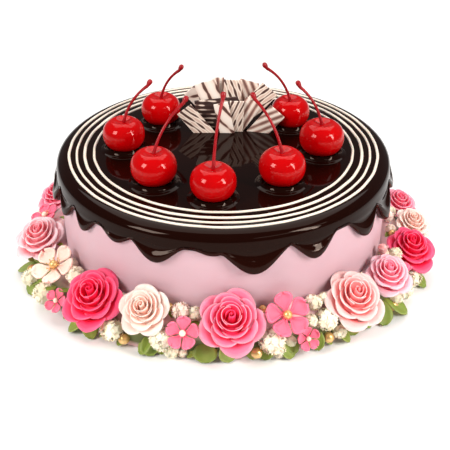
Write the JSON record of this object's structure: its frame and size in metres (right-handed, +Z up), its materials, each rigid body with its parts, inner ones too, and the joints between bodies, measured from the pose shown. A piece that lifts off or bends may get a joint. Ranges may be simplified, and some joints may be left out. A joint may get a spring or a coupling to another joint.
{
  "type": "birthday cake",
  "caption": "Round pink cake with a poured dark chocolate glaze, piped lines, cherries and chocolate shards on top, ringed by pink sugar flowers.",
  "frame": {"origin": "centre of the cake's flat underside", "axes": "+Z up through the cake; -Y is the front, where the shard fan faces"},
  "size_m": [0.232, 0.2223, 0.1128],
  "materials": {
    "frosting": "satin",
    "glaze": "glossy",
    "cherry": "glossy",
    "shard": "satin",
    "magenta": "matte",
    "candy": "matte",
    "pink": "matte",
    "blush": "matte",
    "cream": "matte",
    "greenery": "matte"
  },
  "bodies": {
    "root": {"cake_body": "frosting", "glaze": "glaze", "cherry_left": "cherry", "cherry_back_left": "cherry", "cherry_front_left": "cherry", "cherry_front": "cherry", "cherry_front_right": "cherry", "cherry_right": "cherry", "cherry_back_right": "cherry", "shard_back_far_left": "shard", "shard_back_left": "shard", "shard_back_narrow": "shard", "shard_back_centre": "shard", "shard_back_right": "shard", "shard_back_far_right": "shard", "shard_plaque": "shard", "shard_front_left": "shard", "shard_front_centre": "shard", "shard_front_middle": "shard", "shard_front_right": "shard", "shard_right": "shard", "rose_left_candy": "candy", "rose_left_blush": "blush", "rose_front_magenta": "magenta", "rose_front_cream": "cream", "rose_front_candy": "candy", "rose_front_blush": "blush", "rose_right_pink": "pink", "rose_right_magenta": "magenta", "rose_right_cream": "cream", "rose_right_candy": "candy", "rose_back_blush": "blush", "rose_back_pink": "pink", "rose_back_magenta": "magenta", "rose_back_cream": "cream", "rose_back_candy": "candy", "blossom_left": "candy", "blossom_cream": "cream", "blossom_small_left": "candy", "blossom_front_left": "candy", "blossom_front_right": "candy", "blossom_small_right": "candy", "blossom_back_right": "pink", "blossom_back_cream": "cream", "blossom_back_pink": "candy", "blossom_back_left": "pink", "bud_blush": "blush", "bud_pink": "candy", "bud_cream": "cream", "greenery": "greenery"}
  },
  "joints": []
}
